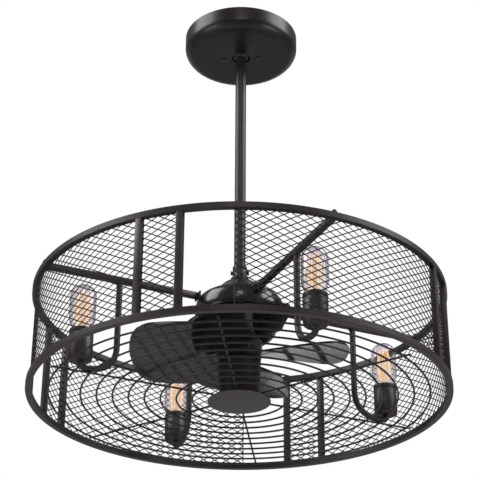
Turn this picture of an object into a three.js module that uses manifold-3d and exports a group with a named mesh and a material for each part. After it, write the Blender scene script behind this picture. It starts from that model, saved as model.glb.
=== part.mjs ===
// A ceiling fan with lamps, hung from a downrod: four paddle blades turn inside a drum-shaped cage of
// square bar and diamond mesh, and four upright lamps stand on J-shaped arms under the cage's spokes.
// Millimetres, +Z up. The origin is the centre of the ceiling plate's top face, where the fan hangs.
import * as THREE from "three";
import { mergeVertices } from "three/addons/utils/BufferGeometryUtils.js";
import Module from "manifold-3d";

const wasm = await Module();
wasm.setup();

// ---- Driving dimensions ----

const GAP = 0.3; // between pieces that touch
const QUARTERS = [0, 1, 2, 3];

const DRUM_RADIUS = 381; // a cage 30 inches across
const DRUM_HEIGHT = 195.4;
const DRUM_BOTTOM = -785; // the cage's lower edge, below the ceiling
const BAR = 11; // square bar of the hoops, uprights and spokes
const SIDE_GAP_ANGLE = 5.5; // an upright stands this many degrees either side of each open gap
const MESH_SHEET = 1.6;
// The mesh sheet's middle lies this far inside the bars' middle.
const MESH_INSET = 2.4;

const SPOKE_AZIMUTH = 45;
const ARM_RADIUS = 236; // where a lamp arm leaves its spoke
const ARM_TUBE = 5;
const LAMP_RADIUS = 302; // the lamps' pitch circle
const ARM_LOW = 10; // height of the arm's lowest run above the cage's lower edge

const SOCKET_BOTTOM = 20;
const SOCKET_TOP = 79;
const SOCKET_RADIUS = 21.5;
const SOCKET_BORE = 14.4;
const CAP_RADIUS = 13.2; // an E26 screw cap
const GLASS_RADIUS = 23.5;
const GLASS_TOP = 166;

const BLADE_AZIMUTH = 19.6;
const BLADE_HEIGHT = 93;
const BLADE_TIP_PITCH = 10;
const BLADE_TWIST = 11; // how much more steeply the root is pitched than the tip
const BLADE_ROOT = 37;
const BLADE_TIP = 199;
const BLADE_ROOT_HALF = 82; // half the blade's width at its root
const BLADE_HALF = 93; // half its greatest width
const BLADE_WIDEST = 150; // how far out it is widest
const BLADE_TIP_POWER = 2.5; // how square the tip is
const BLADE_THICKNESS = 4;
const HUB_RADIUS = 42;

const GUARD_RINGS = 10;
const GUARD_FIRST_RING = 84;
const GUARD_RING_PITCH = 28.5;
const GUARD_WIRE = 3.4;
const GUARD_RADIALS = 6;
const GUARD_PLATE_RADIUS = 57;

const ROD_RADIUS = 10.65; // half-inch steel pipe
const ROD_BORE = 8.4;
const BALL_RADIUS = 22;
const BALL_HEIGHT = -29; // the swivel's centre
const LINER_WALL = 1.6;

const CANOPY_RADIUS = 112.5;
const CANOPY_BOTTOM = -47;
const CANOPY_CORNER = 22;
const CANOPY_WALL = 1.5;
const CANOPY_HOLE = 17.5;
const BRACKET_AZIMUTH = 16;
const CANOPY_SCREW_RADIUS = 35;

// ---- Finishes ----

const finish = (color, roughness, metalness, more = {}) =>
  new THREE.MeshStandardMaterial({ color, roughness, metalness, ...more });

const BRONZE = finish(0x3a3437, 0.42, 0.6);
const GLOSS_BRONZE = finish(0x332d31, 0.22, 0.6);
const PLATE_BRONZE = finish(0x4a474a, 0.6, 0.3);
const BLADE_BLACK = finish(0x1d1b1f, 0.2, 0.1);
const MESH_BLACK = finish(0x2b272a, 0.5, 0.5);
const STEEL = finish(0x9a9a98, 0.4, 0.9);
const IRON = finish(0x54504c, 0.6, 0.7);
const MAGNET = finish(0x3a3a3a, 0.7, 0.2);
const NYLON = finish(0x222222, 0.6, 0);
const BRASS = finish(0xb08d57, 0.35, 0.9);
const GLASS = finish(0xf1c27a, 0.05, 0, { transparent: true, opacity: 0.4 });

// ---- Making solids ----

// A height measured up from the cage's lower edge.
const up = (height) => DRUM_BOTTOM + height;

const radians = THREE.MathUtils.degToRad;

// A closed geometry as a solid with its faces turned outwards.
function solidOf(geometry) {
  const bare = geometry.index ? geometry.toNonIndexed() : geometry.clone();
  for (const name of Object.keys(bare.attributes))
    if (name !== "position") bare.deleteAttribute(name);
  const merged = mergeVertices(bare, 1e-4);
  const triVerts = new Uint32Array(merged.index.array);
  const vertProperties = merged.attributes.position.array;
  const make = () =>
    new wasm.Manifold(new wasm.Mesh({ numProp: 3, vertProperties, triVerts }));
  const made = make();
  if (made.volume() > 0) return made;
  for (let i = 0; i < triVerts.length; i += 3)
    [triVerts[i + 1], triVerts[i + 2]] = [triVerts[i + 2], triVerts[i + 1]];
  return make();
}

function geometryOf(solid) {
  const { vertProperties, triVerts, numProp, numVert } = solid.getMesh();
  const position = new Float32Array(numVert * 3);
  for (let i = 0; i < numVert; i++)
    position.set(vertProperties.subarray(i * numProp, i * numProp + 3), i * 3);
  const geometry = new THREE.BufferGeometry();
  geometry.setAttribute("position", new THREE.BufferAttribute(position, 3));
  geometry.setIndex(new THREE.BufferAttribute(triVerts, 1));
  geometry.computeVertexNormals();
  return geometry;
}

const join = (first, ...others) =>
  others.reduce((whole, other) => whole.add(other), first);
const cut = (first, ...others) =>
  others.reduce((whole, other) => whole.subtract(other), first);

// A solid of revolution about Z from a profile of [radius, z] points.
function revolve(profile, segments = 40) {
  const closesOnAxis = profile[0][0] === 0 && profile.at(-1)[0] === 0;
  const points = (closesOnAxis ? profile : [...profile, profile[0]]).map(
    ([r, z]) => new THREE.Vector2(r, z),
  );
  return solidOf(
    new THREE.LatheGeometry(points, segments).rotateX(Math.PI / 2),
  );
}

const disc = (radius, low, high, segments) =>
  revolve(
    [
      [0, low],
      [radius, low],
      [radius, high],
      [0, high],
    ],
    segments,
  );

const ring = (inner, outer, low, high, segments) =>
  revolve(
    [
      [inner, low],
      [outer, low],
      [outer, high],
      [inner, high],
    ],
    segments,
  );

// A box from its two opposite corners.
function block(low, high) {
  const size = high.map((value, i) => value - low[i]);
  const middle = high.map((value, i) => (value + low[i]) / 2);
  return solidOf(new THREE.BoxGeometry(...size).translate(...middle));
}

// A round bar along X, centred on the given point.
const barAlongX = (radius, length, x, y, z, sides = 10) =>
  solidOf(
    new THREE.CylinderGeometry(radius, radius, length, sides)
      .rotateZ(Math.PI / 2)
      .translate(x, y, z),
  );

// A round tube's solid shape along a curve, with two faces round it for each division.
function sweep(curve, radius, steps, divisions) {
  const section = new THREE.Shape();
  section.absarc(0, 0, radius, 0, 2 * Math.PI, false);
  return solidOf(
    new THREE.ExtrudeGeometry(section, {
      steps,
      curveSegments: divisions,
      extrudePath: curve,
      bevelEnabled: false,
    }),
  );
}

// Points [radius, z] on an arc about a centre on the profile plane, from one angle to another in degrees.
function arc(centreR, centreZ, radius, from, to, steps) {
  return Array.from({ length: steps + 1 }, (_, i) => {
    const angle = radians(from + ((to - from) * i) / steps);
    return [
      centreR + radius * Math.cos(angle),
      centreZ + radius * Math.sin(angle),
    ];
  });
}

const fan = new THREE.Group();

// Adds a solid to the fan as a named piece, turned about Z by an azimuth in degrees.
function piece(name, solid, material, azimuth = 0) {
  const mesh = new THREE.Mesh(geometryOf(solid), material);
  mesh.name = name;
  mesh.rotation.z = radians(azimuth);
  fan.add(mesh);
}

// ---- Ceiling fixing and canopy ----

const PLATE_RADIUS = 52;
const PLATE_THICKNESS = 2.5;
const STRAP_HALF_WIDTH = 13;
const STRAP_END = 46;
const STRAP_THICKNESS = 2;
const STRAP_TOP = CANOPY_BOTTOM + CANOPY_WALL + GAP + STRAP_THICKNESS;
const STRAP_HOLE = 20;
const SCREW_SHANK = 2.4;

// The plate that is screwed up to the ceiling box, with two wire holes and two slots for its screws.
function ceilingPlate() {
  const wireHole = disc(7, -5, 5, 20);
  const slot = block([-2.6, -8, -5], [2.6, 8, 5]);
  return cut(
    disc(PLATE_RADIUS, -PLATE_THICKNESS, 0, 48),
    wireHole.translate([0, 26, 0]),
    wireHole.translate([0, -26, 0]),
    slot.translate([28, 0, 0]),
    slot.translate([-28, 0, 0]),
  );
}

// The U-shaped strap under the plate: two legs and a floor with a hole that the downrod passes.
function hangerBracket() {
  const floor = STRAP_TOP - STRAP_THICKNESS;
  const legTop = -PLATE_THICKNESS - GAP;
  const whole = block(
    [-STRAP_END, -STRAP_HALF_WIDTH, floor],
    [STRAP_END, STRAP_HALF_WIDTH, legTop],
  );
  const inside = block(
    [-STRAP_END + STRAP_THICKNESS, -STRAP_HALF_WIDTH - 1, STRAP_TOP],
    [STRAP_END - STRAP_THICKNESS, STRAP_HALF_WIDTH + 1, legTop + 1],
  );
  const screwHole = disc(SCREW_SHANK + GAP, floor - 1, STRAP_TOP + 1, 10);
  return cut(
    join(cut(whole, inside), disc(30, floor, STRAP_TOP, 28)),
    disc(STRAP_HOLE, floor - 1, STRAP_TOP + 1, 24),
    screwHole.translate([CANOPY_SCREW_RADIUS, 0, 0]),
    screwHole.translate([-CANOPY_SCREW_RADIUS, 0, 0]),
  );
}

const LINER_INNER = BALL_RADIUS + GAP;
const LINER_OUTER = LINER_INNER + LINER_WALL;
const SOCKET_SEAT = LINER_OUTER + GAP;

// The angle on a sphere about the swivel's centre at which it passes a given height.
const dip = (radius, height) =>
  THREE.MathUtils.radToDeg(Math.asin((height - BALL_HEIGHT) / radius));

// The ring that holds the ball's liner, with a spherical seat.
function ballSeat() {
  const low = STRAP_TOP + GAP;
  const high = BALL_HEIGHT - 3;
  const wall = SOCKET_SEAT + 4.5;
  return revolve([
    [wall, low],
    [wall, high],
    ...arc(0, BALL_HEIGHT, SOCKET_SEAT, dip(SOCKET_SEAT, high), dip(SOCKET_SEAT, low), 4),
  ], 28);
}

function ballLiner() {
  const low = STRAP_TOP + 2.5;
  const high = BALL_HEIGHT - 3.5;
  return revolve([
    ...arc(0, BALL_HEIGHT, LINER_OUTER, dip(LINER_OUTER, low), dip(LINER_OUTER, high), 3),
    ...arc(0, BALL_HEIGHT, LINER_INNER, dip(LINER_INNER, high), dip(LINER_INNER, low), 3),
  ], 28);
}

// The canopy cup: an upright wall, a rounded corner and a flat floor with the rod's hole in it.
function canopy() {
  const top = -1;
  const corner = (radius) =>
    arc(CANOPY_RADIUS - CANOPY_CORNER, CANOPY_BOTTOM + CANOPY_CORNER, radius, 0, -90, 4);
  const shell = revolve(
    [
      [CANOPY_RADIUS, top],
      ...corner(CANOPY_CORNER),
      [CANOPY_HOLE, CANOPY_BOTTOM],
      [CANOPY_HOLE, CANOPY_BOTTOM + CANOPY_WALL],
      ...corner(CANOPY_CORNER - CANOPY_WALL).reverse(),
      [CANOPY_RADIUS - CANOPY_WALL, top],
    ],
    36,
  );
  const screwHole = disc(SCREW_SHANK + GAP, CANOPY_BOTTOM - 1, CANOPY_BOTTOM + 3, 10);
  return cut(
    shell,
    screwHole.translate([CANOPY_SCREW_RADIUS, 0, 0]),
    screwHole.translate([-CANOPY_SCREW_RADIUS, 0, 0]),
  );
}

function canopyScrew() {
  const head = CANOPY_BOTTOM - GAP;
  return revolve(
    [
      [0, head - 2.2],
      [2.6, head - 2.2],
      [4.2, head - 1],
      [4.2, head],
      [SCREW_SHANK, head],
      [SCREW_SHANK, STRAP_TOP + 6],
      [0, STRAP_TOP + 6],
    ],
    10,
  );
}

piece("ceiling_plate", ceilingPlate(), STEEL, BRACKET_AZIMUTH);
piece("hanger_bracket", hangerBracket(), STEEL, BRACKET_AZIMUTH);
piece("ball_seat", ballSeat(), STEEL);
piece("ball_liner", ballLiner(), NYLON);
piece("canopy", canopy(), GLOSS_BRONZE, BRACKET_AZIMUTH);
for (const side of [0, 1])
  piece(
    `canopy_screw_${side + 1}`,
    canopyScrew().translate([CANOPY_SCREW_RADIUS, 0, 0]),
    GLOSS_BRONZE,
    BRACKET_AZIMUTH + 180 * side,
  );

// ---- Downrod, its ball and the coupler on the motor ----

const CROSS_PIN_HEIGHT = BALL_HEIGHT + 8;
const CROSS_PIN_RADIUS = 3;
const COUPLER_TOP = up(266.6);
const COUPLER_RADIUS = 13.5;
const COUPLER_FOOT = up(236.6);
const ROD_BOTTOM = up(242.6);
const COUPLER_PIN_HEIGHT = up(253.6);
const COUPLER_PIN_RADIUS = 2.4;
const COUPLER_PIN_AZIMUTH = 20;
const SHAFT_RADIUS = 8;
const SHAFT_TOP = up(235.6);

function hangerBall() {
  const flat = 60; // degrees up at which the ball's top is cut flat
  const profile = [
    [0, BALL_HEIGHT - BALL_RADIUS],
    ...arc(0, BALL_HEIGHT, BALL_RADIUS, -75, flat, 8),
    [0, BALL_HEIGHT + BALL_RADIUS * Math.sin(radians(flat))],
  ];
  const ball = revolve(profile, 24);
  return cut(
    ball,
    disc(ROD_RADIUS + GAP, BALL_HEIGHT - 30, BALL_HEIGHT + 30, 16),
    barAlongX(CROSS_PIN_RADIUS + GAP, 60, 0, 0, CROSS_PIN_HEIGHT),
  );
}

function downrod() {
  return cut(
    ring(ROD_BORE, ROD_RADIUS, ROD_BOTTOM, BALL_HEIGHT + 14, 16),
    barAlongX(CROSS_PIN_RADIUS + GAP, 60, 0, 0, CROSS_PIN_HEIGHT),
    barAlongX(COUPLER_PIN_RADIUS + GAP, 60, 0, 0, COUPLER_PIN_HEIGHT).rotate([0, 0, COUPLER_PIN_AZIMUTH]),
  );
}

// The clamp that joins the rod to the motor's shaft: a neck that flares to a foot on the motor's dome.
function coupler() {
  const bore = ROD_RADIUS + GAP;
  return cut(
    revolve(
      [
        [bore, COUPLER_TOP],
        [COUPLER_RADIUS - 1, COUPLER_TOP],
        [COUPLER_RADIUS, COUPLER_TOP - 1],
        [COUPLER_RADIUS, up(245.6)],
        [17.5, up(240.6)],
        [17.5, COUPLER_FOOT],
        [SHAFT_RADIUS + GAP, COUPLER_FOOT],
        [SHAFT_RADIUS + GAP, up(241.6)],
        [bore, up(241.6)],
      ],
      24,
    ),
    barAlongX(COUPLER_PIN_RADIUS + GAP, 60, 0, 0, COUPLER_PIN_HEIGHT).rotate([0, 0, COUPLER_PIN_AZIMUTH]),
  );
}

function couplerPin() {
  const reach = COUPLER_RADIUS + GAP;
  const head = (side) => barAlongX(4.2, 3.4, side * (reach + 1.7), 0, COUPLER_PIN_HEIGHT);
  return join(
    barAlongX(COUPLER_PIN_RADIUS, 2 * reach + 2, 0, 0, COUPLER_PIN_HEIGHT),
    head(1),
    head(-1),
  );
}

piece("hanger_ball", hangerBall(), GLOSS_BRONZE);
piece("cross_pin", barAlongX(CROSS_PIN_RADIUS, 34, 0, 0, CROSS_PIN_HEIGHT), STEEL);
piece("downrod", downrod(), BRONZE);
piece("coupler", coupler(), BRONZE);
piece("coupler_pin", couplerPin(), GLOSS_BRONZE, COUPLER_PIN_AZIMUTH);

// ---- Motor ----

const DOME_LIP = 157; // the dome's lower edge
const SHAFT_BOTTOM = 66;
const BEARING_RADIUS = 15;

// Profile points given as [radius, height above the cage's lower edge].
const raised = (points) => points.map(([r, height]) => [r, up(height)]);

function motorShaft() {
  return ring(5, SHAFT_RADIUS, up(SHAFT_BOTTOM), SHAFT_TOP, 16);
}

// The fixed upper half of the motor's housing, which the spokes are screwed to.
function motorDome() {
  const bore = SHAFT_RADIUS + GAP;
  return revolve(
    raised([
      [bore, 236],
      [17, 236],
      [30, 229],
      [39.5, 219.6],
      [54, 208.5],
      [68, 200.4],
      [77.5, 193.2],
      [81, 184],
      [82.5, 170],
      [82.5, DOME_LIP],
      [80.5, DOME_LIP],
      [80.5, 170],
      [79, 183],
      [75.6, 192],
      [66, 198.6],
      [52, 206],
      [37.5, 217],
      [28, 226.5],
      [16, 233.6],
      [bore, 233.6],
    ]),
    28,
  );
}

function stator() {
  return revolve(
    raised([
      [SHAFT_RADIUS + GAP, 142],
      [44, 142],
      [44, 148],
      [56, 148],
      [56, 166],
      [44, 166],
      [44, 172],
      [SHAFT_RADIUS + GAP, 172],
    ]),
    20,
  );
}

// The turning lower half of the housing: a bowl that carries the magnets above and the blade hub below.
function rotorBowl() {
  const bore = BEARING_RADIUS + GAP;
  return revolve(
    raised([
      [bore, 113],
      [40, 113],
      [46.5, 116],
      [58, 122.5],
      [66, 131],
      [71.5, 145],
      [77, 154.5],
      [74.6, 154.5],
      [69.4, 145.6],
      [64, 132],
      [56.5, 124],
      [45, 118.2],
      [39.5, 115.4],
      [bore, 115.4],
    ]),
    28,
  );
}

function bladeHub() {
  return revolve(
    raised([
      [BEARING_RADIUS + GAP, 76],
      [HUB_RADIUS - 2.6, 76],
      [HUB_RADIUS, 112.6],
      [BEARING_RADIUS + GAP, 112.6],
    ]),
    28,
  );
}

const bearing = (low) =>
  ring(SHAFT_RADIUS + GAP, BEARING_RADIUS, up(low), up(low + 9), 16);

piece("motor_shaft", motorShaft(), STEEL);
piece("motor_dome", motorDome(), GLOSS_BRONZE);
piece("stator", stator(), IRON);
piece("rotor_bowl", rotorBowl(), GLOSS_BRONZE);
piece("magnet_ring", ring(58, 62.5, up(136), up(172), 24), MAGNET);
piece("rotor_cover", ring(BEARING_RADIUS + GAP, 62.5, up(172.4), up(174.4), 24), IRON);
piece("upper_bearing", bearing(172.6), STEEL);
piece("lower_bearing", bearing(100), STEEL);
piece("blade_hub", bladeHub(), GLOSS_BRONZE);

// ---- Blades ----

// Half a blade's width at a distance from the fan's axis.
function bladeHalf(distance) {
  if (distance < BLADE_WIDEST) {
    const share = (distance - BLADE_ROOT) / (BLADE_WIDEST - BLADE_ROOT);
    return BLADE_ROOT_HALF + ((BLADE_HALF - BLADE_ROOT_HALF) * (1 - Math.cos(Math.PI * share))) / 2;
  }
  const share = Math.min(1, (distance - BLADE_WIDEST) / (BLADE_TIP - BLADE_WIDEST));
  return BLADE_HALF * (1 - share ** BLADE_TIP_POWER) ** (1 / BLADE_TIP_POWER);
}

// A point of a blade, given along it, across it and through its thickness, after the blade's twist.
function bladePoint(distance, across, through) {
  const share = (distance - BLADE_ROOT) / (BLADE_TIP - BLADE_ROOT);
  const pitch = radians(BLADE_TIP_PITCH + BLADE_TWIST * (1 - share) ** 1.5);
  return [
    distance,
    across * Math.cos(pitch) - through * Math.sin(pitch),
    across * Math.sin(pitch) + through * Math.cos(pitch) + up(BLADE_HEIGHT),
  ];
}

// One paddle blade, pointing along +X from the hub: narrow at its root, widest past its middle, with a
// round tip, and twisted so that it is steeper at its root.
function blade() {
  const inner = [0, 1, 2, 3, 4, 5].map((i) => BLADE_ROOT + ((BLADE_WIDEST - BLADE_ROOT) * i) / 6);
  const outer = [0, 0.26, 0.5, 0.71, 0.87, 0.965, 0.995].map(
    (share) => BLADE_WIDEST + (BLADE_TIP - BLADE_WIDEST) * share,
  );
  const stations = [...inner, ...outer];
  const across = [-1, -0.5, 0, 0.5, 1];
  const positions = [-1, 1].flatMap((face) =>
    stations.flatMap((r) =>
      across.flatMap((share) => bladePoint(r, share * bladeHalf(r), (face * BLADE_THICKNESS) / 2)),
    ),
  );
  const rows = stations.length;
  const columns = across.length;
  const at = (face, i, j) => (face * rows + i) * columns + j;
  const faces = [];
  const quad = (a, b, c, d) => faces.push(a, b, c, a, c, d);
  for (let i = 0; i + 1 < rows; i++) {
    for (let j = 0; j + 1 < columns; j++) {
      quad(at(1, i, j), at(1, i + 1, j), at(1, i + 1, j + 1), at(1, i, j + 1));
      quad(at(0, i, j), at(0, i, j + 1), at(0, i + 1, j + 1), at(0, i + 1, j));
    }
    quad(at(0, i, 0), at(0, i + 1, 0), at(1, i + 1, 0), at(1, i, 0));
    quad(at(0, i, columns - 1), at(1, i, columns - 1), at(1, i + 1, columns - 1), at(0, i + 1, columns - 1));
  }
  for (let j = 0; j + 1 < columns; j++) {
    quad(at(0, 0, j), at(1, 0, j), at(1, 0, j + 1), at(0, 0, j + 1));
    quad(at(0, rows - 1, j), at(0, rows - 1, j + 1), at(1, rows - 1, j + 1), at(1, rows - 1, j));
  }
  const plate = new THREE.BufferGeometry()
    .setAttribute("position", new THREE.Float32BufferAttribute(positions, 3))
    .setIndex(faces);
  return cut(solidOf(plate), disc(HUB_RADIUS + GAP, up(40), up(140), 28));
}

for (const i of QUARTERS)
  piece(`blade_${i + 1}`, blade(), BLADE_BLACK, BLADE_AZIMUTH + 90 * i);

// ---- Column under the motor, and the guard it carries ----

// The fixed wiring column: it hangs from the hollow shaft, through the turning hub.
function column() {
  return revolve(
    raised([
      [SHAFT_RADIUS + GAP, 73.5],
      [37, 73.5],
      [39, 72],
      [36.5, 30],
      [36.5, 8],
      [34, 8],
      [34, 69],
      [SHAFT_RADIUS + GAP, 69],
    ]),
    24,
  );
}

function columnCap() {
  return revolve(
    raised([
      [0, 4.4],
      [38, 4.4],
      [40, 6],
      [40, 7.6],
      [0, 7.6],
    ]),
    28,
  );
}

// The lower guard: concentric wire rings under radial wires that start from a small ring on the cap.
function guard() {
  const half = GUARD_WIRE / 2;
  const lastRing = GUARD_FIRST_RING + GUARD_RING_PITCH * (GUARD_RINGS - 1);
  const radii = Array.from({ length: GUARD_RINGS }, (_, i) => GUARD_FIRST_RING + GUARD_RING_PITCH * i);
  const rings = [50, ...radii].map((radius) =>
    ring(radius - half, radius + half, up(-half), up(half), radius < 150 ? 20 : 32),
  );
  const wire = block([50, -half, up(half - 0.8)], [lastRing + 12, half, up(half - 0.8 + GUARD_WIRE)]);
  const wires = Array.from({ length: GUARD_RADIALS }, (_, i) =>
    wire.rotate([0, 0, SPOKE_AZIMUTH + (360 / GUARD_RADIALS) * i]),
  );
  return join(...wires, ...rings);
}

piece("column", column(), BRONZE);
piece("column_cap", columnCap(), BRONZE);
piece("guard", guard(), MESH_BLACK);
piece("guard_plate", disc(GUARD_PLATE_RADIUS, up(-4.6), up(-2.2), 40), PLATE_BRONZE);

// ---- Cage ----

const BAR_INNER = DRUM_RADIUS - BAR;
const BAR_MIDDLE = DRUM_RADIUS - BAR / 2;

// An upright bar between the hoops, on +X.
const upright = () =>
  block(
    [BAR_INNER + 0.4, -BAR / 2, up(BAR + GAP)],
    [DRUM_RADIUS - 0.4, BAR / 2, up(DRUM_HEIGHT - BAR - GAP)],
  );

// A quarter's mesh panel: a thin curved sheet that fills the cage between two uprights.
function meshPanel() {
  const clear = THREE.MathUtils.radToDeg((BAR / 2 + 0.8) / BAR_MIDDLE);
  const start = radians(SIDE_GAP_ANGLE + clear);
  const end = radians(90 - SIDE_GAP_ANGLE - clear);
  const inner = BAR_MIDDLE - MESH_INSET - MESH_SHEET / 2;
  const sheet = new THREE.Shape();
  sheet.absarc(0, 0, inner + MESH_SHEET, start, end, false);
  sheet.absarc(0, 0, inner, end, start, true);
  const low = BAR + GAP;
  return solidOf(
    new THREE.ExtrudeGeometry(sheet, {
      depth: DRUM_HEIGHT - 2 * low,
      curveSegments: 12,
      bevelEnabled: false,
    }).translate(0, 0, up(low)),
  );
}

const hoop = (low) => ring(BAR_INNER, DRUM_RADIUS, up(low), up(low + BAR), 72);

piece("top_hoop", hoop(DRUM_HEIGHT - BAR), BRONZE);
piece("bottom_hoop", hoop(0), BRONZE);
for (const i of QUARTERS) {
  piece(`upright_${2 * i + 1}`, upright(), BRONZE, 90 * i - SIDE_GAP_ANGLE);
  piece(`upright_${2 * i + 2}`, upright(), BRONZE, 90 * i + SIDE_GAP_ANGLE);
  piece(`mesh_panel_${i + 1}`, meshPanel(), MESH_BLACK, 90 * i);
}

// ---- Spokes with their lamp arms, and the lamps ----

// A spoke along +X from the motor's dome to the top hoop, with a tube welded under it that hangs down,
// bends outwards and turns up into the lamp's socket.
function lampArm() {
  const top = DRUM_HEIGHT - 0.5;
  const spoke = block(
    [84, -BAR / 2, up(top - BAR)],
    [BAR_INNER - GAP, BAR / 2, up(top)],
  );
  const foot = block([82.9, -12, up(top - BAR - 1)], [85.5, 12, up(top + 1)]);
  const at = (x, height) => new THREE.Vector3(x, 0, up(height));
  const line = new THREE.CurvePath();
  const bend = 60; // height where the tube leaves the vertical
  const turn = 12; // how far before the lamp's axis the tube starts to rise
  line.add(new THREE.LineCurve3(at(ARM_RADIUS, top - BAR + 2), at(ARM_RADIUS, bend)));
  line.add(
    new THREE.CubicBezierCurve3(
      at(ARM_RADIUS, bend),
      at(ARM_RADIUS, bend - 34),
      at(ARM_RADIUS + 20, ARM_LOW),
      at(LAMP_RADIUS - turn, ARM_LOW),
    ),
  );
  line.add(
    new THREE.QuadraticBezierCurve3(
      at(LAMP_RADIUS - turn, ARM_LOW),
      at(LAMP_RADIUS, ARM_LOW),
      at(LAMP_RADIUS, SOCKET_BOTTOM - GAP),
    ),
  );
  return join(spoke, foot, sweep(line, ARM_TUBE, 18, 4));
}

// The socket cup, open at the top, with the screw cap's bore down its middle.
function lampSocket() {
  const top = SOCKET_TOP;
  return revolve(
    raised([
      [0, SOCKET_BOTTOM],
      [SOCKET_RADIUS - 6, SOCKET_BOTTOM],
      [SOCKET_RADIUS - 1.2, SOCKET_BOTTOM + 4],
      [SOCKET_RADIUS, SOCKET_BOTTOM + 9],
      [SOCKET_RADIUS, top],
      [SOCKET_RADIUS - 2.5, top],
      [SOCKET_RADIUS - 4, top - 6],
      [SOCKET_BORE, top - 10],
      [SOCKET_BORE, SOCKET_BOTTOM + 21],
      [0, SOCKET_BOTTOM + 21],
    ]),
    16,
  );
}

const CAP_BOTTOM = SOCKET_BOTTOM + 23;
const CAP_TOP = SOCKET_TOP - 9;

function bulbCap() {
  return revolve(
    raised([
      [0, CAP_BOTTOM],
      [5, CAP_BOTTOM],
      [CAP_RADIUS - 1, CAP_BOTTOM + 4],
      [CAP_RADIUS, CAP_BOTTOM + 6],
      [CAP_RADIUS, CAP_TOP],
      [0, CAP_TOP],
    ]),
    12,
  );
}

// The bulb's glass: a straight tube with a domed end, necked in to its cap.
function bulbGlass() {
  const neck = CAP_TOP + GAP;
  const shoulder = 96;
  const domeStart = GLASS_TOP - GLASS_RADIUS + 1.5;
  const dome = Array.from({ length: 5 }, (_, i) => {
    const angle = radians(18 * (i + 1));
    const r = i === 4 ? 0 : GLASS_RADIUS * Math.cos(angle);
    return [r, domeStart + (GLASS_TOP - domeStart) * Math.sin(angle)];
  });
  return revolve(
    raised([
      [0, neck],
      [CAP_RADIUS - 0.6, neck],
      [CAP_RADIUS, neck + 6],
      [19, shoulder - 9],
      [GLASS_RADIUS - 0.8, shoulder],
      [GLASS_RADIUS, shoulder + 8],
      [GLASS_RADIUS, domeStart],
      ...dome,
    ]),
    14,
  );
}

for (const i of QUARTERS) {
  const azimuth = SPOKE_AZIMUTH + 90 * i;
  const outwards = [LAMP_RADIUS, 0, 0];
  piece(`lamp_arm_${i + 1}`, lampArm(), BRONZE, azimuth);
  piece(`lamp_socket_${i + 1}`, lampSocket().translate(outwards), BRONZE, azimuth);
  piece(`bulb_cap_${i + 1}`, bulbCap().translate(outwards), BRASS, azimuth);
  piece(`bulb_glass_${i + 1}`, bulbGlass().translate(outwards), GLASS, azimuth);
}

export default fan;
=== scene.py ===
"""A caged drum ceiling fan with lamps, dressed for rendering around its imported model.

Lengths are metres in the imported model's own frame: +Z up, with the origin on the ceiling. Sizes written
with MM are millimetres turned into metres.
"""
import logging
import math
from dataclasses import dataclass
from enum import Enum

import bmesh
import bpy
from mathutils import Matrix, Vector


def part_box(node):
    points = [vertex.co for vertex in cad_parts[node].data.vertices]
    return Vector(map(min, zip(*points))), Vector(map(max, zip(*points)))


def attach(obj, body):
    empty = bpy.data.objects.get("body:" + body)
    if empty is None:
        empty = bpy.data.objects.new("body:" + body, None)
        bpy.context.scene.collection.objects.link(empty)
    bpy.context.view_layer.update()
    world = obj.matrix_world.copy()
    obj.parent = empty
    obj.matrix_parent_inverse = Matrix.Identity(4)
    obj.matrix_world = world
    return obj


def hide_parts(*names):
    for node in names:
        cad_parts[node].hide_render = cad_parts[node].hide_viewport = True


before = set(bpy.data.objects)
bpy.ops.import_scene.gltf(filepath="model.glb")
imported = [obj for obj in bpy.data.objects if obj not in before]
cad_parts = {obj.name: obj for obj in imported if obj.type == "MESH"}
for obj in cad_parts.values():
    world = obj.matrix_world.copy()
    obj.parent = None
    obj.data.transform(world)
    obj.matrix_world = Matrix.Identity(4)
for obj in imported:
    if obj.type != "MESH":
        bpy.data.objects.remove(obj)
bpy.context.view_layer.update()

MM = 0.001
QUARTERS = range(4)
LOG = logging.getLogger("fan")

Profile = list[tuple[float, float]]
Colour = tuple[float, float, float, float]


# ---------------------------------------------------------------- workbench


class Ends(Enum):
    """How a turned piece's outline ends."""

    LOOP = "the last ring joins the first"
    POLES = "both ends close on the axis"


def deselect_all() -> None:
    """Leaves object mode with nothing selected."""
    if bpy.context.object and bpy.context.object.mode != "OBJECT":
        bpy.ops.object.mode_set(mode="OBJECT")
    bpy.ops.object.select_all(action="DESELECT")


def take_up(obj: bpy.types.Object) -> None:
    """Selects one object alone and makes it active.

    Args:
        obj: the object.
    """
    deselect_all()
    obj.select_set(True)
    bpy.context.view_layer.objects.active = obj


def settle(obj: bpy.types.Object, name: str) -> bpy.types.Object:
    """Names a piece and moves its place into its mesh.

    Args:
        obj: the piece.
        name: its name in the scene.

    Returns:
        The same piece, at the origin, unturned and unscaled.
    """
    take_up(obj)
    bpy.ops.object.transform_apply(location=True, rotation=True, scale=True)
    obj.name = name
    obj.data.name = name
    return obj


def apply_modifier(obj: bpy.types.Object, kind: str, **settings: object) -> None:
    """Adds one modifier to a piece and applies it.

    Args:
        obj: the piece.
        kind: the modifier's type.
        settings: its values.
    """
    take_up(obj)
    made = obj.modifiers.new(kind.lower(), kind)
    for key, value in settings.items():
        setattr(made, key, value)
    bpy.ops.object.modifier_apply(modifier=made.name)


def round_edges(obj: bpy.types.Object, width: float, segments: int = 2) -> None:
    """Bevels a piece's sharp edges."""
    limit = {"limit_method": "ANGLE", "angle_limit": math.radians(35)}
    apply_modifier(obj, "BEVEL", width=width, segments=segments, **limit)


def smooth(obj: bpy.types.Object, angle: float = 35) -> None:
    """Shades a piece smooth, apart from edges sharper than an angle in degrees."""
    take_up(obj)
    bpy.ops.object.shade_smooth_by_angle(angle=math.radians(angle))


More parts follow.
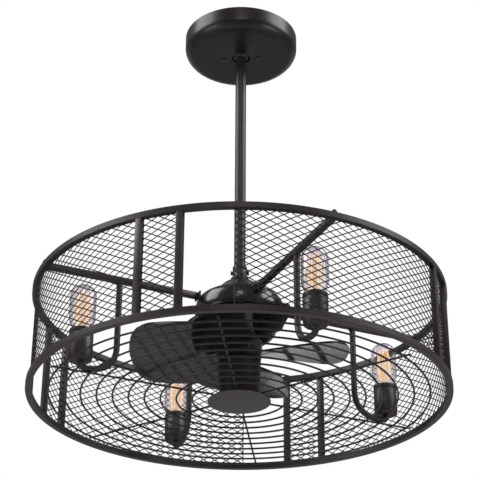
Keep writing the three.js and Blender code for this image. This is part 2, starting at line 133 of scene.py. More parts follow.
def face_out(obj: bpy.types.Object) -> None:
    """Merges a piece's doubled vertices and turns its faces outwards.

    Args:
        obj: the piece.
    """
    take_up(obj)
    bpy.ops.object.mode_set(mode="EDIT")
    bpy.ops.mesh.select_all(action="SELECT")
    bpy.ops.mesh.remove_doubles(threshold=1e-6)
    bpy.ops.mesh.normals_make_consistent(inside=False)
    bpy.ops.object.mode_set(mode="OBJECT")


def turned(name: str, profile: Profile, segments: int, ends: Ends = Ends.LOOP) -> bpy.types.Object:
    """Turns a piece round the upright axis: a ring is extruded and resized along a profile.

    Args:
        name: the piece's name.
        profile: radius and height of each ring, in order.
        segments: steps round the axis.
        ends: how the outline closes.

    Returns:
        The closed piece.
    """
    deselect_all()
    radius, height = profile[0]
    cap = "TRIFAN" if ends is Ends.POLES else "NOTHING"
    bpy.ops.mesh.primitive_circle_add(
        vertices=segments, radius=radius, location=(0, 0, height), fill_type=cap
    )
    obj = settle(bpy.context.object, name)
    bpy.ops.object.mode_set(mode="EDIT")
    bpy.ops.mesh.select_mode(type="EDGE")
    bpy.ops.mesh.select_all(action="DESELECT")
    mesh = bmesh.from_edit_mesh(obj.data)
    for edge in mesh.edges:
        edge.select_set(len(edge.link_faces) < 2)
    bmesh.update_edit_mesh(obj.data)
    for next_radius, next_height in profile[1:]:
        bpy.ops.mesh.extrude_edges_move(TRANSFORM_OT_translate={"value": (0, 0, next_height - height)})
        share = next_radius / radius
        bpy.ops.transform.resize(value=(share, share, 1), center_override=(0, 0, next_height))
        radius, height = next_radius, next_height
    if ends is Ends.POLES:
        bpy.ops.mesh.extrude_edges_move(TRANSFORM_OT_translate={"value": (0, 0, 0)})
        bpy.ops.mesh.merge(type="CENTER")
    else:
        bpy.ops.mesh.select_all(action="DESELECT")
        bpy.ops.mesh.select_non_manifold()
        bpy.ops.mesh.bridge_edge_loops()
    bpy.ops.object.mode_set(mode="OBJECT")
    face_out(obj)
    smooth(obj)
    return obj


def bar(name: str, low: tuple, high: tuple, edge: float) -> bpy.types.Object:
    """Makes a straight bar between two corners of its box, with rounded edges.

    Args:
        name: the piece's name.
        low: lowest corner.
        high: highest corner.
        edge: radius of its edges.

    Returns:
        The bar.
    """
    deselect_all()
    low, high = Vector(low), Vector(high)
    bpy.ops.mesh.primitive_cube_add(size=1, location=(low + high) / 2)
    obj = bpy.context.object
    obj.scale = high - low
    settle(obj, name)
    round_edges(obj, edge)
    smooth(obj)
    return obj


def tube(
    name: str, points: list[Vector], radius: float, resolution: int = 3, loop: bool = False
) -> bpy.types.Object:
    """Makes a round tube along a line of points.

    Args:
        name: the piece's name.
        points: the tube's centre line.
        radius: half its width.
        resolution: how finely it is rounded.
        loop: whether the line closes on itself.

    Returns:
        The tube as a closed mesh.
    """
    deselect_all()
    line = bpy.data.curves.new(name, "CURVE")
    line.dimensions = "3D"
    spline = line.splines.new("POLY")
    spline.points.add(len(points) - 1)
    for point, place in zip(spline.points, points):
        point.co = (*place, 1)
    spline.use_cyclic_u = loop
    line.bevel_depth = radius
    line.bevel_resolution = resolution
    line.use_fill_caps = not loop
    obj = bpy.data.objects.new(name, line)
    bpy.context.scene.collection.objects.link(obj)
    take_up(obj)
    bpy.ops.object.convert(target="MESH")
    obj = bpy.context.object
    face_out(obj)
    smooth(obj, 50)
    return settle(obj, name)


def bead(name: str, profile: Profile, sides: int, place: tuple, pole: tuple = (0, 0, 1)) -> bpy.types.Object:
    """Makes a small turned piece, such as a screw head, and stands it somewhere.

    Args:
        name: the piece's name.
        profile: radius and height of each ring, closed on its axis at both ends.
        sides: steps round its axis.
        place: where its own origin goes.
        pole: the direction its axis points.

    Returns:
        The piece.
    """
    obj = turned(name, profile, sides, Ends.POLES)
    turn = Vector((0, 0, 1)).rotation_difference(Vector(pole)).to_matrix().to_4x4()
    obj.matrix_world = Matrix.Translation(place) @ turn
    return settle(obj, name)


def joined(name: str, pieces: list[bpy.types.Object]) -> bpy.types.Object:
    """Joins several meshes into one piece.

    Args:
        name: the piece's name.
        pieces: the meshes.

    Returns:
        The joined piece.
    """
    take_up(pieces[0])
    for other in pieces[1:]:
        other.select_set(True)
    bpy.ops.object.join()
    return settle(bpy.context.object, name)


def copy_round(source: bpy.types.Object, name: str, degrees: float) -> bpy.types.Object:
    """Copies a piece, with its own mesh, and turns the copy about the fan's upright axis.

    Args:
        source: the piece to copy.
        name: the copy's name.
        degrees: how far the copy is turned.

    Returns:
        The copy.
    """
    take_up(source)
    bpy.ops.object.duplicate(linked=False)
    made = bpy.context.object
    made.rotation_euler = (0, 0, math.radians(degrees))
    return settle(made, name)


def shift(obj: bpy.types.Object, x: float, y: float = 0, z: float = 0) -> bpy.types.Object:
    """Moves a piece, in its mesh."""
    obj.location = (x, y, z)
    return settle(obj, obj.name)


def arc(centre: tuple[float, float], radius: float, start: float, end: float, steps: int) -> Profile:
    """Points on an arc in a profile's plane, between two angles in degrees."""
    turn = [math.radians(start + (end - start) * i / steps) for i in range(steps + 1)]
    return [(centre[0] + radius * math.cos(a), centre[1] + radius * math.sin(a)) for a in turn]


def fit(piece: bpy.types.Object, body: str, slot: str, material: bpy.types.Material, *nodes: str) -> None:
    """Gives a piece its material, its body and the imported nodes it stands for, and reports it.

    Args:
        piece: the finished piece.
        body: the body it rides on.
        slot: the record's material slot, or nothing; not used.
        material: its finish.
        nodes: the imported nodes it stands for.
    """
    piece.data.materials.clear()
    piece.data.materials.append(material)
    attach(piece, body)
    if nodes:
        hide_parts(*nodes)
    LOG.info("%s rides on %s, %d faces", piece.name, body, len(piece.data.polygons))


# ---------------------------------------------------------------- finishes


class Wiring:
    """Places nodes in a tree and links them."""

    def __init__(self, tree: bpy.types.NodeTree) -> None:
        """Starts on an emptied tree."""
        self.tree = tree
        tree.nodes.clear()

    def add(self, kind: str, inputs: dict | None = None, **settings: object) -> bpy.types.Node:
        """Adds a node.

        Args:
            kind: the node's type.
            inputs: its input values, or the sockets that feed them.
            settings: its properties.

        Returns:
            The node.
        """
        node = self.tree.nodes.new(kind)
        for key, value in settings.items():
            setattr(node, key, value)
        for key, value in (inputs or {}).items():
            if isinstance(value, bpy.types.NodeSocket):
                self.tree.links.new(value, node.inputs[key])
            else:
                node.inputs[key].default_value = value
        return node

    def mix(self, share: object, first: object, second: object) -> bpy.types.NodeSocket:
        """Mixes two colours.

        Args:
            share: how much of the second colour, from 0 to 1.
            first: a colour, or the socket that feeds it.
            second: a colour, or the socket that feeds it.

        Returns:
            The result's socket.
        """
        node = self.add("ShaderNodeMix", {0: share}, data_type="RGBA")
        for index, value in ((6, first), (7, second)):
            if isinstance(value, bpy.types.NodeSocket):
                self.tree.links.new(value, node.inputs[index])
            else:
                node.inputs[index].default_value = value
        return node.outputs[2]

    def maths(
        self, operation: str, first: object, second: object, clamp: bool = False
    ) -> bpy.types.NodeSocket:
        """Works out one operation on two values and returns the result's socket."""
        inputs = {0: first, 1: second}
        return self.add("ShaderNodeMath", inputs, operation=operation, use_clamp=clamp).outputs[0]

    def between(self, value: bpy.types.NodeSocket, low: float, high: float) -> bpy.types.NodeSocket:
        """Stretches the range from low to high onto 0 to 1 and returns the result's socket."""
        inputs = {"Value": value, "From Min": low, "From Max": high}
        return self.add("ShaderNodeMapRange", inputs).outputs["Result"]


    def noise(
        self, place: bpy.types.NodeSocket, scale: float, detail: float, rough: float = 0.5
    ) -> bpy.types.NodeSocket:
        """Adds a noise pattern and returns its value's socket."""
        inputs = {"Vector": place, "Scale": scale, "Detail": detail, "Roughness": rough}
        return self.add("ShaderNodeTexNoise", inputs).outputs["Fac"]

    def surface(self, **inputs: object) -> None:
        """Adds the shader and the output.

        Args:
            inputs: the shader's input values or sockets, with underscores for spaces in their names.
        """
        values = {key.replace("_", " "): value for key, value in inputs.items()}
        shader = self.add("ShaderNodeBsdfPrincipled", values)
        self.add("ShaderNodeOutputMaterial", {"Surface": shader.outputs["BSDF"]})


def new_material(name: str) -> tuple[bpy.types.Material, Wiring]:
    """Makes an empty material.

    Args:
        name: the material's name.

    Returns:
        The material and its wiring.
    """
    made = bpy.data.materials.new(name)
    made.use_nodes = True
    return made, Wiring(made.node_tree)


FLOAT = "NodeSocketFloat"
COLOUR = "NodeSocketColor"
VECTOR = "NodeSocketVector"


def new_group(name: str, inputs: dict[str, str], outputs: dict[str, str]) -> tuple[Wiring, bpy.types.Node]:
    """Makes an empty shader node group.

    Args:
        name: the group's name.
        inputs: each input's name and socket type.
        outputs: each output's name and socket type.

    Returns:
        Its wiring and its input node.
    """
    group = bpy.data.node_groups.new(name, "ShaderNodeTree")
    for label, kind in inputs.items():
        group.interface.new_socket(label, in_out="INPUT", socket_type=kind)
    for label, kind in outputs.items():
        group.interface.new_socket(label, in_out="OUTPUT", socket_type=kind)
    wiring = Wiring(group)
    return wiring, wiring.add("NodeGroupInput")


def sprayed_coat_group() -> bpy.types.NodeTree:
    """Builds the effect of a sprayed metal coat: mottled colour, rubbed edges, dust and fine orange peel.

    Returns:
        The group, with Colour, Roughness and Normal outputs.
    """
    inputs = dict.fromkeys(("Main", "Second", "Rubbed"), COLOUR)
    inputs |= dict.fromkeys(("Rub", "Gloss", "Spread", "Grain"), FLOAT)
    w, given = new_group("sprayed_coat", inputs, {"Colour": COLOUR, "Roughness": FLOAT, "Normal": VECTOR})
    place = w.add("ShaderNodeTexCoord").outputs["Object"]
    cloud = w.noise(place, 26.0, 5.0, 0.6)
    flecks = w.noise(place, 210.0, 3.0, 0.7)
    peel = w.noise(place, 1100.0, 2.0)
    base = w.mix(w.between(cloud, 0.36, 0.66), given.outputs["Main"], given.outputs["Second"])
    bent = w.add("ShaderNodeNewGeometry").outputs["Pointiness"]
    rub = w.maths("MULTIPLY", w.between(bent, 0.515, 0.6), w.between(flecks, 0.36, 0.6))
    colour = w.mix(w.maths("MULTIPLY", rub, given.outputs["Rub"]), base, given.outputs["Rubbed"])
    sway = w.maths("MULTIPLY", w.maths("SUBTRACT", cloud, 0.5), given.outputs["Spread"])
    fine = w.maths("MULTIPLY", w.maths("SUBTRACT", flecks, 0.5), given.outputs["Spread"])
    rough = w.maths("ADD", w.maths("ADD", sway, fine), given.outputs["Gloss"], clamp=True)
    grain = {"Height": peel, "Strength": given.outputs["Grain"], "Distance": 0.15 * MM}
    bump = w.add("ShaderNodeBump", grain)
    w.add("NodeGroupOutput", {"Colour": colour, "Roughness": rough, "Normal": bump.outputs["Normal"]})
    return w.tree


def brushed_group() -> bpy.types.NodeTree:
    """Builds the effect of bare drawn metal: fine lines along Z with faint stains.

    Returns:
        The group, with Colour, Roughness and Normal outputs.
    """
    inputs = {"Main": COLOUR, "Stain": COLOUR, "Gloss": FLOAT, "Grain": FLOAT}
    w, given = new_group("brushed_metal", inputs, {"Colour": COLOUR, "Roughness": FLOAT, "Normal": VECTOR})
    place = w.add("ShaderNodeTexCoord").outputs["Object"]
    drawn = w.add("ShaderNodeMapping", {"Vector": place, "Scale": (1.0, 1.0, 0.03)}).outputs["Vector"]
    lines = w.noise(drawn, 1400.0, 3.0)
    stains = w.noise(place, 40.0, 4.0)
    colour = w.mix(w.between(stains, 0.5, 0.75), given.outputs["Main"], given.outputs["Stain"])
    sway = w.maths("MULTIPLY", w.maths("SUBTRACT", lines, 0.5), 0.3)
    rough = w.maths("ADD", sway, given.outputs["Gloss"], clamp=True)
    grain = {"Height": lines, "Strength": given.outputs["Grain"], "Distance": 0.1 * MM}
    bump = w.add("ShaderNodeBump", grain)
    w.add("NodeGroupOutput", {"Colour": colour, "Roughness": rough, "Normal": bump.outputs["Normal"]})
    return w.tree


@dataclass(frozen=True)
class CoatFinish:
    """A sprayed or dipped coat on metal or plastic."""

    name: str
    main: Colour
    second: Colour
    rubbed: Colour
    rub: float = 0.5
    gloss: float = 0.4
    spread: float = 0.2
    grain: float = 0.15
    metallic: float = 0.4
    coat: float = 0.0

    def make(self, group: bpy.types.NodeTree) -> bpy.types.Material:
        """Makes the material.

        Args:
            group: the shared sprayed coat effect.

        Returns:
            The material.
        """
        made, w = new_material(self.name)
        effect = w.add("ShaderNodeGroup", node_tree=group)
        values = {"Main": self.main, "Second": self.second, "Rubbed": self.rubbed, "Rub": self.rub}
        values |= {"Gloss": self.gloss, "Spread": self.spread, "Grain": self.grain}
        for key, value in values.items():
            effect.inputs[key].default_value = value
        w.surface(
            Base_Color=effect.outputs["Colour"],
            Roughness=effect.outputs["Roughness"],
            Normal=effect.outputs["Normal"],
            Metallic=self.metallic,
            Coat_Weight=self.coat,
            Coat_Roughness=0.08,
        )
        return made


@dataclass(frozen=True)
class BareFinish:
    """A bare metal finish with drawn lines."""

    name: str
    main: Colour
    stain: Colour
    gloss: float = 0.35
    grain: float = 0.3

    def make(self, group: bpy.types.NodeTree) -> bpy.types.Material:
        """Makes the material.

        Args:
            group: the shared brushed metal effect.

        Returns:
            The material.
        """
        made, w = new_material(self.name)
        effect = w.add("ShaderNodeGroup", node_tree=group)
        values = {"Main": self.main, "Stain": self.stain, "Gloss": self.gloss, "Grain": self.grain}
        for key, value in values.items():
            effect.inputs[key].default_value = value
        w.surface(
            Base_Color=effect.outputs["Colour"],
            Roughness=effect.outputs["Roughness"],
            Normal=effect.outputs["Normal"],
            Metallic=1.0,
        )
        return made


@dataclass(frozen=True)
class LampFinish:
    """The lamps' clear glass and glowing filaments."""

    tint: Colour = (0.82, 0.79, 0.83, 1.0)
    smoke: Colour = (0.74, 0.71, 0.75, 1.0)
    # Colour of the painted shade laid on the glass where it is seen edge-on.
    painted_rim_shade: Colour = (0.16, 0.145, 0.17, 1.0)
    glow: Colour = (1.0, 0.47, 0.13, 1.0)
    core: Colour = (1.0, 0.78, 0.42, 1.0)
    power: float = 1.7
    # Colours, strength and fade of the painted glow round the filament, a glowing shell that is no lamp.
    amber: Colour = (1.0, 0.6, 0.28, 1.0)
    pale: Colour = (1.0, 0.96, 0.74, 1.0)
    painted_glow_power: float = 1.0
    painted_glow_weight: float = 0.6
    painted_glow_fades_from: float = -0.66
    painted_glow_ends_at: float = -0.628

    def glass(self) -> bpy.types.Material:
        """Makes the clear glass, faintly smoked in places, with painted shade that darkens it towards its
        edges.

        Returns:
            The material.
        """
        made, w = new_material("lamp_glass")
        place = w.add("ShaderNodeTexCoord").outputs["Object"]
        smoke = w.noise(place, 30.0, 2.0)
        clear = w.mix(w.between(smoke, 0.3, 0.8), self.tint, self.smoke)
        # Painted shade: the glass darkens towards its edges, standing in for dark reflections there.
        facing = w.add("ShaderNodeLayerWeight", {"Blend": 0.4}).outputs["Facing"]
        colour = w.mix(w.between(facing, 0.25, 0.95), clear, self.painted_rim_shade)
        ripple = w.add("ShaderNodeBump", {"Height": smoke, "Strength": 0.05, "Distance": 0.3 * MM})
        w.surface(
            Base_Color=colour,
            Roughness=0.02,
            IOR=1.46,
            Transmission_Weight=1.0,
            Normal=ripple.outputs["Normal"],
        )
        return made

    def filament(self) -> bpy.types.Material:
        """Makes the glowing carbon filament, brighter and paler in places along its length.

        Returns:
            The material.
        """
        made, w = new_material("lamp_filament")
        place = w.add("ShaderNodeTexCoord").outputs["Object"]
        flicker = w.noise(place, 90.0, 2.0)
        colour = w.mix(w.between(flicker, 0.35, 0.65), self.glow, self.core)
        w.surface(
            Base_Color=(0.2, 0.08, 0.02, 1.0),
            Roughness=0.6,
            Emission_Color=colour,
            Emission_Strength=self.power,
        )
        return made

    def painted_glow(self) -> bpy.types.Material:
        """Makes the painted glow round the filament, a glowing shell that is no lamp, which thins out
        towards its edges and its top.

        Returns:
            The material.
        """
        made, w = new_material("lamp_haze")
        place = w.add("ShaderNodeTexCoord").outputs["Object"]
        # Painted glow: amber and pale streaks of emitted light on a shell round the filament, thinning by
        # facing and height.
        streaks = w.add("ShaderNodeMapping", {"Vector": place, "Scale": (1.0, 1.0, 0.12)}).outputs["Vector"]
        bands = w.noise(streaks, 190.0, 2.0)
        colour = w.mix(w.between(bands, 0.4, 0.6), self.amber, self.pale)
        facing = w.add("ShaderNodeLayerWeight", {"Blend": 0.35}).outputs["Facing"]
        core = w.maths("POWER", w.between(facing, 0.95, 0.1), 1.5)
        height = w.add("ShaderNodeSeparateXYZ", {"Vector": place}).outputs["Z"]
        fade = w.between(height, self.painted_glow_ends_at, self.painted_glow_fades_from)
        shaped = w.maths("MULTIPLY", core, fade)
        thick = w.maths("MULTIPLY", shaped, w.between(bands, -0.2, 0.75), clamp=True)
        alpha = w.maths("MULTIPLY", thick, self.painted_glow_weight)
        w.surface(
            Base_Color=(0.0, 0.0, 0.0, 1.0),
            Roughness=1.0,
            Specular_IOR_Level=0.0,
            Alpha=alpha,
            Emission_Color=colour,
            Emission_Strength=self.painted_glow_power,
        )
        return made


class Finishes:
    """Every material of the fan, made once."""

    def __init__(self) -> None:
        """Builds the shared effects and the materials that use them."""
        coat, bare = sprayed_coat_group(), brushed_group()
        brown = (0.07, 0.04, 0.034, 1.0)
        grey = (0.05, 0.05, 0.055, 1.0)
        self.bronze = CoatFinish(
            "satin_bronze", (0.028, 0.024, 0.0275, 1), (0.038, 0.032, 0.0365, 1), brown,
            rub=0.5, gloss=0.4, spread=0.16, metallic=0.25,
        ).make(coat)
        self.gloss = CoatFinish(
            "gloss_bronze", (0.016, 0.0125, 0.0155, 1), (0.021, 0.0165, 0.020, 1), brown,
            rub=0.3, gloss=0.24, spread=0.1, grain=0.06, metallic=0.2, coat=0.3,
        ).make(coat)
        self.cup = CoatFinish(
            "satin_cup", (0.013, 0.0095, 0.0125, 1), (0.017, 0.013, 0.0165, 1), brown,
            rub=0.2, gloss=0.34, spread=0.05, grain=0.03, metallic=0.25, coat=0.05,
        ).make(coat)
        self.plate = CoatFinish(
            "flat_bronze", (0.062, 0.056, 0.060, 1), (0.07, 0.064, 0.068, 1), brown,
            rub=0.2, gloss=0.6, spread=0.1, grain=0.2, metallic=0.1,
        ).make(coat)
        self.blade = CoatFinish(
            "gloss_black", (0.009, 0.008, 0.0095, 1), (0.012, 0.010, 0.012, 1), grey,
            rub=0.3, gloss=0.13, spread=0.07, grain=0.04, metallic=0.0, coat=0.4,
        ).make(coat)
        self.wire = CoatFinish(
            "dipped_black", (0.012, 0.010, 0.0115, 1), (0.018, 0.0145, 0.0165, 1), brown,
            rub=0.3, gloss=0.45, spread=0.15, grain=0.1, metallic=0.2,
        ).make(coat)
        self.magnet = CoatFinish(
            "sintered_magnet", (0.05, 0.05, 0.05, 1), (0.09, 0.085, 0.08, 1), brown,
            rub=0.4, gloss=0.7, spread=0.2, grain=0.5, metallic=0.2,
        ).make(coat)
        self.nylon = CoatFinish(
            "black_nylon", (0.012, 0.012, 0.012, 1), (0.02, 0.02, 0.02, 1), (0.1, 0.1, 0.1, 1),
            rub=0.2, gloss=0.55, spread=0.1, grain=0.3, metallic=0.0,
        ).make(coat)
        self.iron = CoatFinish(
            "stacked_iron", (0.09, 0.085, 0.08, 1), (0.14, 0.12, 0.11, 1), brown,
            rub=0.5, gloss=0.6, spread=0.2, grain=0.4, metallic=0.7,
        ).make(coat)
        self.steel = BareFinish("zinc_steel", (0.55, 0.55, 0.54, 1), (0.4, 0.39, 0.36, 1)).make(bare)
        self.brass = BareFinish("cap_brass", (0.6, 0.44, 0.2, 1), (0.45, 0.3, 0.12, 1), 0.3).make(bare)
        lamps = LampFinish()
        # The last is the painted glow round each filament.
        self.glass, self.filament, self.painted_glow = lamps.glass(), lamps.filament(), lamps.painted_glow()


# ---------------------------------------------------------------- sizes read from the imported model


@dataclass(frozen=True)
class Levels:
    """Heights and radii that several parts share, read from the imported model."""

    floor: float
    top: float
    radius: float
    bar: float

    @classmethod
    def read(cls) -> "Levels":
        """Reads the cage's size from its hoops.

        Returns:
            The cage's levels.
        """
        low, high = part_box("bottom_hoop")
        _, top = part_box("top_hoop")
        return cls(floor=low.z, top=top.z, radius=high.x, bar=high.z - low.z)

    def up(self, height_mm: float) -> float:
        """The height of a point above the cage's lower edge, given in millimetres."""
        return self.floor + height_mm * MM

    def raised(self, points_mm: list[tuple[float, float]]) -> Profile:
        """A profile whose heights are given above the cage's lower edge, in millimetres."""
        return [(r * MM, self.up(h)) for r, h in points_mm]


HANGING = "hanging_cage"
MOUNT = "ceiling_mount"
ROTOR = "rotor"
SPOKE_AZIMUTH = 45.0
BLADE_AZIMUTH = 19.6


# ---------------------------------------------------------------- ceiling end


@dataclass
class Canopy:
    """The cup at the ceiling, its screws and the ball in its hole."""

    finishes: Finishes
    wall: float = 1.3 * MM
    corner: float = 22 * MM
    hole: float = 17.5 * MM
    screw_circle: float = 35 * MM
    screw_azimuth: float = 16.0

    def build(self) -> None:
        """Builds the canopy, its two screws and the hanger ball."""
        low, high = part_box("canopy")
        radius, bottom, top = high.x, low.z, high.z
        centre = (radius - self.corner, bottom + self.corner)
        lip = 1.6 * MM
        outline = [(radius, top), *arc(centre, self.corner, 0, -90, 14)]
        outline += [
            (self.hole + lip, bottom), (self.hole + 0.4 * MM, bottom + 0.3 * MM),
            (self.hole, bottom + 1.2 * MM),
        ]
        outline += [(self.hole, bottom + 3.4 * MM), (self.hole + self.wall, bottom + 3.4 * MM)]
        outline += [(self.hole + self.wall, bottom + self.wall)]
        outline += arc(centre, self.corner - self.wall, -90, 0, 14) + [(radius - self.wall, top)]
        cup = turned("canopy_cup", outline, 128)
        fit(cup, MOUNT, "gloss_bronze", self.finishes.cup, "canopy")
        for side in (0, 1):
            self.screw(side, bottom)
        self.ball()

    def screw(self, side: int, bottom: float) -> None:
        """Builds one screw with a domed head under the canopy's floor.

        Args:
            side: 0 or 1, one on each side of the rod.
            bottom: height of the canopy's floor.
        """
        head = [
            (2.2 * MM, 8 * MM), (2.2 * MM, 0), (4.2 * MM, -0.3 * MM), (4.1 * MM, -1.2 * MM),
            (3.2 * MM, -2.0 * MM), (1.6 * MM, -2.4 * MM),
        ]
        angle = math.radians(self.screw_azimuth + 180 * side)
        place = (self.screw_circle * math.cos(angle), self.screw_circle * math.sin(angle), bottom)
        screw = bead(f"canopy_screw_head_{side + 1}", head, 24, place)
        fit(screw, MOUNT, "gloss_bronze", self.finishes.gloss, f"canopy_screw_{side + 1}")

    def ball(self) -> None:
        """Builds the hanger ball, with the rod's bore through it."""
        low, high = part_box("hanger_ball")
        radius, bore = high.x, 10.9 * MM
        middle = -29 * MM
        steep = math.degrees(math.acos(bore / radius))
        crown = math.degrees(math.asin(min(1, (high.z - middle) / radius)))
        outline = arc((0, middle), radius, -steep, crown, 28) + [(bore, high.z)]
        ball = turned("swivel_ball", outline, 64)
        fit(ball, HANGING, "gloss_bronze", self.finishes.gloss, "hanger_ball")


@dataclass
class Downrod:
    """The pipe, the coupler at its foot and the coupler's pin."""

    finishes: Finishes
    levels: Levels
    pin_azimuth: float = 20.0
    pin_height_mm: float = 253.6

    def build(self) -> None:
        """Builds the pipe, the coupler and its pin."""
        low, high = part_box("downrod")
        radius, bore = high.x, 8.4 * MM
        edge = 0.5 * MM
        outline = [
            (bore, low.z), (radius - edge, low.z), (radius, low.z + edge), (radius, high.z - edge),
            (radius - edge, high.z), (bore, high.z),
        ]
        pipe = turned("down_pipe", outline, 64)
        fit(pipe, HANGING, "bronze", self.finishes.bronze, "downrod")
        neck = self.levels.raised(
            [
                (10.9, 266.6), (12.4, 266.6), (13.3, 265.6), (13.5, 264.6), (13.5, 261.2),
                (12.9, 260.6), (12.9, 259.8), (13.5, 259.2), (13.5, 247.1), (14.2, 245.2), (15.8, 243),
                (17.1, 241.2), (17.5, 240), (17.5, 237.6), (17.1, 236.8), (8.3, 236.8), (8.3, 241.6),
                (10.9, 241.6),
            ]
        )
        coupler = turned("pipe_coupler", neck, 64)
        fit(coupler, HANGING, "bronze", self.finishes.bronze, "coupler")
        self.pin()

    def pin(self) -> None:
        """Builds the coupler's cross pin with its two hexagon heads."""
        angle = math.radians(self.pin_azimuth)
        along = Vector((math.cos(angle), math.sin(angle), 0))
        middle = Vector((0, 0, self.levels.up(self.pin_height_mm)))
        hexagon = [(3.9 * MM, 0), (4.4 * MM, 0.5 * MM), (4.4 * MM, 2.9 * MM), (3.7 * MM, 3.5 * MM)]
        reach = 13.7 * MM
        ends = [
            bead("pin_head", hexagon, 6, middle + along * reach * side, along * side) for side in (1, -1)
        ]
        shank = tube("pin_shank", [middle - along * (reach + MM), middle + along * (reach + MM)], 2.4 * MM)
        whole = joined("coupler_cross_pin", [*ends, shank])
        fit(whole, HANGING, "gloss_bronze", self.finishes.gloss, "coupler_pin")


# ---------------------------------------------------------------- motor and blades


@dataclass
class Motor:
    """The motor's housing, the blade hub, the column under it and the column's cap."""

    finishes: Finishes
    levels: Levels
    steps: int = 128

    def build(self) -> None:
        """Builds each shell of the motor."""
        gloss, satin = ("gloss_bronze", self.finishes.gloss), ("bronze", self.finishes.bronze)
        dome = [
            (8.3, 236), (16.4, 236), (17.8, 235.6), (23.4, 232.8), (30, 229), (35, 224.4),
            (39.5, 219.6), (46, 214.2), (54, 208.5), (61, 204.4), (68, 200.4), (73.4, 197),
            (77.5, 192.8), (79.8, 188.4), (81, 184), (82, 177), (82.5, 170), (82.5, 158.2),
            (81.9, 157.3), (81.3, 157), (80.5, 157), (80.5, 170), (79, 183), (75.6, 192), (66, 198.6),
            (52, 206), (37.5, 217), (28, 226.5), (16, 233.6), (8.3, 233.6),
        ]
        self.shell("motor_top_shell", "motor_dome", HANGING, gloss, dome)
        bowl = [
            (15.3, 113), (39, 113), (41, 113.3), (46.5, 116), (52.4, 119), (58, 122.5), (62.6, 126.6),
            (66, 131), (69, 137.6), (71.5, 145), (73.6, 149.6), (76, 152.6), (77, 154), (76.4, 154.5),
            (74.6, 154.5), (69.4, 145.6), (64, 132), (56.5, 124), (45, 118.2), (39.5, 115.4),
            (15.3, 115.4),
        ]
        self.shell("motor_lower_bowl", "rotor_bowl", ROTOR, gloss, bowl)
        hub = [
            (15.3, 76), (38.4, 76), (39.4, 76.6), (39.6, 78), (41.8, 108), (42, 111.6), (41.2, 112.6),
            (15.3, 112.6),
        ]
        self.shell("blade_carrier", "blade_hub", ROTOR, gloss, hub)
        column = [
            (8.3, 73.5), (37, 73.5), (38.6, 72.9), (39, 71.6), (38.2, 60), (37, 40), (36.5, 30),
            (36.5, 8.4), (36.1, 8), (34, 8), (34, 69), (8.3, 69),
        ]
        self.shell("wiring_column", "column", HANGING, satin, column)
        cap = [
            (2, 4.4), (37.4, 4.4), (39.2, 5), (40, 6), (40, 7), (39.5, 7.6), (2, 7.6),
        ]
        self.shell("column_end_cap", "column_cap", HANGING, satin, cap, Ends.POLES)

    def shell(
        self,
        name: str,
        node: str,
        body: str,
        dress: tuple[str, bpy.types.Material],
        points_mm: list[tuple[float, float]],
        ends: Ends = Ends.LOOP,
    ) -> None:
        """Turns one shell and fits it.

        Args:
            name: the piece's name.
            node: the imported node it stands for.
            body: the body it rides on.
            dress: its material slot and its finish.
            points_mm: radius and height of each ring, above the cage's lower edge.
            ends: how the outline closes.
        """
        piece = turned(name, self.levels.raised(points_mm), self.steps, ends)
        fit(piece, body, *dress, node)


